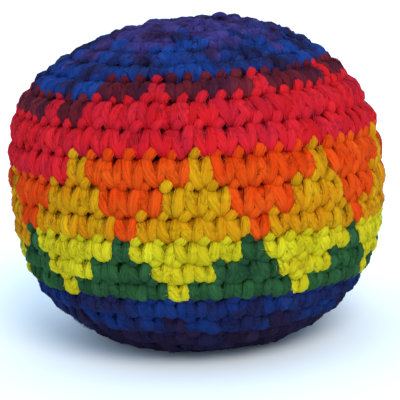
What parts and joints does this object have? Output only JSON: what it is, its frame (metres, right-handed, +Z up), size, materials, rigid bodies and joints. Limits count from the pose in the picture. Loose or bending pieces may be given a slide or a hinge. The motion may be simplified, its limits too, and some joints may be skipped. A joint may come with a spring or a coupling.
{
  "type": "crocheted footbag",
  "caption": "Round crocheted footbag in rainbow zigzag bands, pellet filled, slightly flattened, resting on its base.",
  "frame": {"origin": "centre of the flattened foot under the base, on the surface that the bag rests on", "axes": "+Z up along the axis of the crochet spiral, from the base to the crown; -Y faces the viewer of the picture, with +X to the right"},
  "size_m": [0.057, 0.057, 0.0483],
  "materials": {
    "purple_base_yarn": "matt cotton yarn",
    "blue_base_yarn": "matt cotton yarn",
    "green_yarn": "matt cotton yarn",
    "lemon_yarn": "matt cotton yarn",
    "gold_yarn": "matt cotton yarn",
    "orange_yarn": "matt cotton yarn",
    "red_yarn": "matt cotton yarn",
    "maroon_yarn": "matt cotton yarn",
    "blue_crown_yarn": "matt cotton yarn",
    "purple_crown_yarn": "matt cotton yarn",
    "pellets": "satin plastic granules"
  },
  "bodies": {
    "root": {"purple_base_yarn": "purple_base_yarn", "blue_base_yarn": "blue_base_yarn", "green_yarn": "green_yarn", "lemon_yarn": "lemon_yarn", "gold_yarn": "gold_yarn", "orange_yarn": "orange_yarn", "red_yarn": "red_yarn", "maroon_yarn": "maroon_yarn", "blue_crown_yarn": "blue_crown_yarn", "purple_crown_yarn": "purple_crown_yarn", "pellet_filling": "pellets"}
  },
  "joints": []
}
